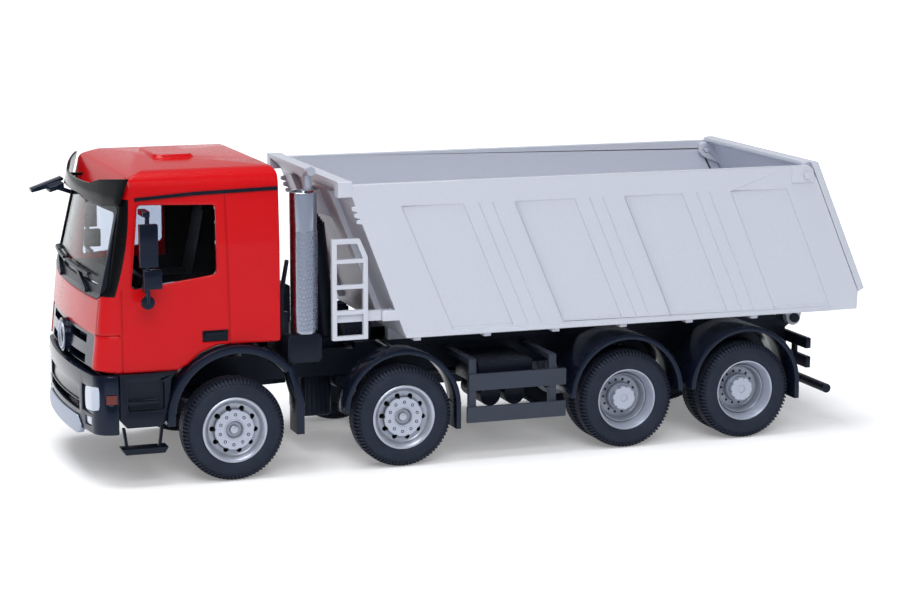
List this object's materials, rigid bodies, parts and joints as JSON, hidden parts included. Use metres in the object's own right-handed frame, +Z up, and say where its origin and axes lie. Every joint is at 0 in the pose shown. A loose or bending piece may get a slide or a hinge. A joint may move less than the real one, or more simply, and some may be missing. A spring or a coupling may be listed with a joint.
{
  "type": "four-axle dump truck, 1:87 scale model",
  "caption": "Scale model of a heavy road dump truck with a tipping open-topped body, top-hung tailgate, telescopic cylinder and rolling axles.",
  "frame": {"origin": "on the ground, midway along the overall length and across the width", "axes": "+X forward, +Y to the vehicle's left, +Z up"},
  "size_m": [0.0952, 0.0326, 0.0358],
  "materials": {
    "red_plastic": "glossy moulded red",
    "silver_plastic": "satin silver",
    "black_plastic": "semi-gloss black",
    "chrome_plastic": "bright plated",
    "clear_plastic": "clear moulded glazing",
    "smoked_plastic": "dark smoked gloss",
    "lens": "clear lens",
    "amber_lens": "amber",
    "interior": "matt",
    "tyre": "matt black",
    "steel": "drawn"
  },
  "bodies": {
    "truck": {"air_tanks": "black_plastic", "battery_box": "black_plastic", "bogie_springs": "black_plastic", "bumper": "black_plastic", "cab_glazing": "clear_plastic", "cab_interior": "interior", "cab_shell": "red_plastic", "cab_trim": "black_plastic", "chassis_frame": "black_plastic", "cross_members": "black_plastic", "engine_gearbox": "black_plastic", "exhaust_shield": "chrome_plastic", "exhaust_stack": "chrome_plastic", "front_axle_beams": "black_plastic", "front_mudguards": "black_plastic", "fuel_tank": "black_plastic", "grille": "black_plastic", "hanging_steps": "black_plastic", "headlamps": "lens", "hinge_pins": "black_plastic", "hydraulic_oil_tank": "black_plastic", "marker_lamps": "amber_lens", "mirrors": "black_plastic", "propeller_shaft": "black_plastic", "rear_axle_housings": "black_plastic", "rear_light_bars": "black_plastic", "rear_mudguards": "black_plastic", "second_mudguards": "black_plastic", "side_guards": "black_plastic", "silencer": "black_plastic", "skid_plate": "silver_plastic", "step_boxes": "black_plastic", "sun_visor": "smoked_plastic", "tailpipe": "chrome_plastic", "tipper_subframe": "black_plastic", "under_run_bar": "black_plastic", "wipers": "black_plastic"},
    "axle_1": {"axle_1_pin": "steel", "wheels_1": "silver_plastic", "tyres_1": "tyre"},
    "axle_2": {"axle_2_pin": "steel", "wheels_2": "silver_plastic", "tyres_2": "tyre"},
    "axle_3": {"axle_3_pin": "steel", "wheels_3": "silver_plastic", "tyres_3": "tyre"},
    "axle_4": {"axle_4_pin": "steel", "wheels_4": "silver_plastic", "tyres_4": "tyre"},
    "load_body": {"dump_body": "silver_plastic", "ladder": "silver_plastic", "gate_pins": "silver_plastic"},
    "tailgate": {"tailgate": "silver_plastic"},
    "barrel": {"cylinder_barrel": "black_plastic"},
    "stage_1": {"cylinder_stage_1": "black_plastic"},
    "stage_2": {"cylinder_stage_2": "black_plastic"},
    "stage_3": {"cylinder_stage_3": "black_plastic"},
    "rod": {"cylinder_rod": "black_plastic"}
  },
  "joints": [
    {"name": "axle_1_roll", "type": "hinge", "parent": "truck", "child": "axle_1", "pos_m": [0.0309, 0, 0.00581], "axis": [0, 1, 0], "continuous": true},
    {"name": "axle_2_roll", "type": "hinge", "parent": "truck", "child": "axle_2", "pos_m": [0.0111, 0, 0.00581], "axis": [0, 1, 0], "continuous": true},
    {"name": "axle_3_roll", "type": "hinge", "parent": "truck", "child": "axle_3", "pos_m": [-0.0167, 0, 0.00581], "axis": [0, 1, 0], "continuous": true},
    {"name": "axle_4_roll", "type": "hinge", "parent": "truck", "child": "axle_4", "pos_m": [-0.0321, 0, 0.00581], "axis": [0, 1, 0], "continuous": true},
    {"name": "body_tip", "type": "hinge", "parent": "truck", "child": "load_body", "pos_m": [-0.0425, 0, 0.0127], "axis": [0, -1, 0], "range_deg": [0, 45]},
    {"name": "gate_swing", "type": "hinge", "parent": "load_body", "child": "tailgate", "pos_m": [-0.0392, 0, 0.03155], "axis": [0, 1, 0], "range_deg": [0, 60]},
    {"name": "cylinder_swing", "type": "hinge", "parent": "truck", "child": "barrel", "pos_m": [0.016, 0, 0.0126], "axis": [0, -1, 0], "range_deg": [0, 32.8]},
    {"name": "stage_1_slide", "type": "slide", "parent": "barrel", "child": "stage_1", "axis": [0.1031, 0, 0.9947], "range_m": [0, 0.01108]},
    {"name": "stage_2_slide", "type": "slide", "parent": "stage_1", "child": "stage_2", "axis": [0.1031, 0, 0.9947], "range_m": [0, 0.01108]},
    {"name": "stage_3_slide", "type": "slide", "parent": "stage_2", "child": "stage_3", "axis": [0.1031, 0, 0.9947], "range_m": [0, 0.01108]},
    {"name": "stage_4_slide", "type": "slide", "parent": "stage_3", "child": "rod", "axis": [0.1031, 0, 0.9947], "range_m": [0, 0.01108]}
  ],
  "couplings": [
    {"joint": "cylinder_swing", "follows": "body_tip", "ratio": 0.72862},
    {"joint": "stage_1_slide", "follows": "body_tip", "m_per_rad": 0.01409},
    {"joint": "stage_2_slide", "follows": "body_tip", "m_per_rad": 0.01409},
    {"joint": "stage_3_slide", "follows": "body_tip", "m_per_rad": 0.01409},
    {"joint": "stage_4_slide", "follows": "body_tip", "m_per_rad": 0.01409}
  ]
}
